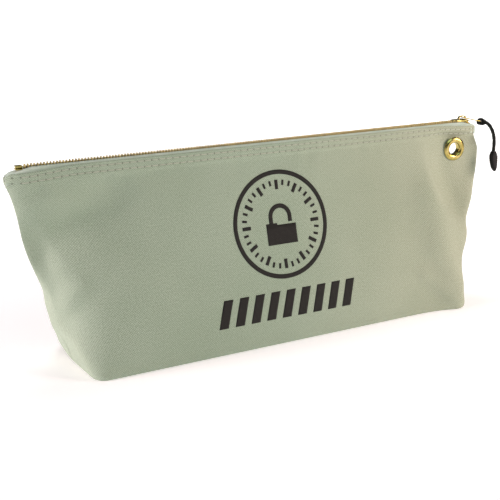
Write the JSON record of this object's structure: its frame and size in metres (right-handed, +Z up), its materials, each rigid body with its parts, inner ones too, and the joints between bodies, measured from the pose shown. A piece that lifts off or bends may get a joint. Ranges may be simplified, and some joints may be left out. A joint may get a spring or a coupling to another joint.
{
  "type": "zippered canvas deposit bag",
  "caption": "Long canvas bag with a boxed flat base, a brass zipper along the mouth, a corded pull with a moulded grip and a brass grommet at one top corner.",
  "frame": {"origin": "centre of the base's flat underside", "axes": "+X along the mouth towards the closed slider and the grommet, +Y from the front panel to the back panel, +Z up"},
  "size_m": [0.4674, 0.0964, 0.1684],
  "materials": {
    "canvas": "heavy plain-weave natural cotton canvas, matt",
    "thread": "natural cotton sewing thread",
    "zip_tape": "woven cotton zipper tape",
    "zip_brass": "antique brass teeth, lightly tarnished",
    "bright_brass": "polished brass with light wear",
    "pull_cord": "black braided cord",
    "grip": "black moulded rubber, satin"
  },
  "bodies": {
    "bag": {"front_panel": "canvas", "back_panel": "canvas", "base_panel": "canvas", "front_hem_stitch_upper": "thread", "front_hem_stitch_lower": "thread", "back_hem_stitch_upper": "thread", "back_hem_stitch_lower": "thread", "left_side_seam_thread": "thread", "right_side_seam_thread": "thread", "base_seam_thread": "thread", "front_zip_tape": "zip_tape", "back_zip_tape": "zip_tape", "front_teeth": "zip_brass", "back_teeth": "zip_brass", "front_top_stop": "bright_brass", "back_top_stop": "bright_brass", "bottom_stop": "bright_brass", "grommet_eyelet": "bright_brass", "grommet_washer": "bright_brass"},
    "slider": {"slider_body": "bright_brass", "slider_crown": "bright_brass"},
    "pull_tab": {"pull_tab": "bright_brass", "cord_hitch": "pull_cord"},
    "pull_cord": {"pull_cord": "pull_cord"},
    "cord_grip": {"cord_grip": "grip"}
  },
  "joints": [
    {"name": "zip_slide", "type": "slide", "parent": "bag", "child": "slider", "axis": [-1, 0, 0], "range_m": [0, 0.413], "deforming": ["front_teeth", "back_teeth", "front_zip_tape", "back_zip_tape", "front_top_stop", "back_top_stop", "pull_cord"]},
    {"name": "pull_tab_hinge", "type": "hinge", "parent": "slider", "child": "pull_tab", "pos_m": [0.2118, 0, 0.1668], "axis": [0, -1, 0], "range_deg": [0, 190]},
    {"name": "cord_hang", "type": "hinge", "parent": "pull_tab", "child": "pull_cord", "pos_m": [0.23567, 0, 0.16085], "axis": [0, -1, 0], "range_deg": [-190, 0]},
    {"name": "cord_swing", "type": "hinge", "parent": "pull_cord", "child": "cord_grip", "pos_m": [0.2338, -0.0216, 0.15], "axis": [0, -1, 0], "range_deg": [-40, 40]}
  ],
  "couplings": [
    {"joint": "cord_hang", "follows": "pull_tab_hinge", "ratio": -1}
  ]
}
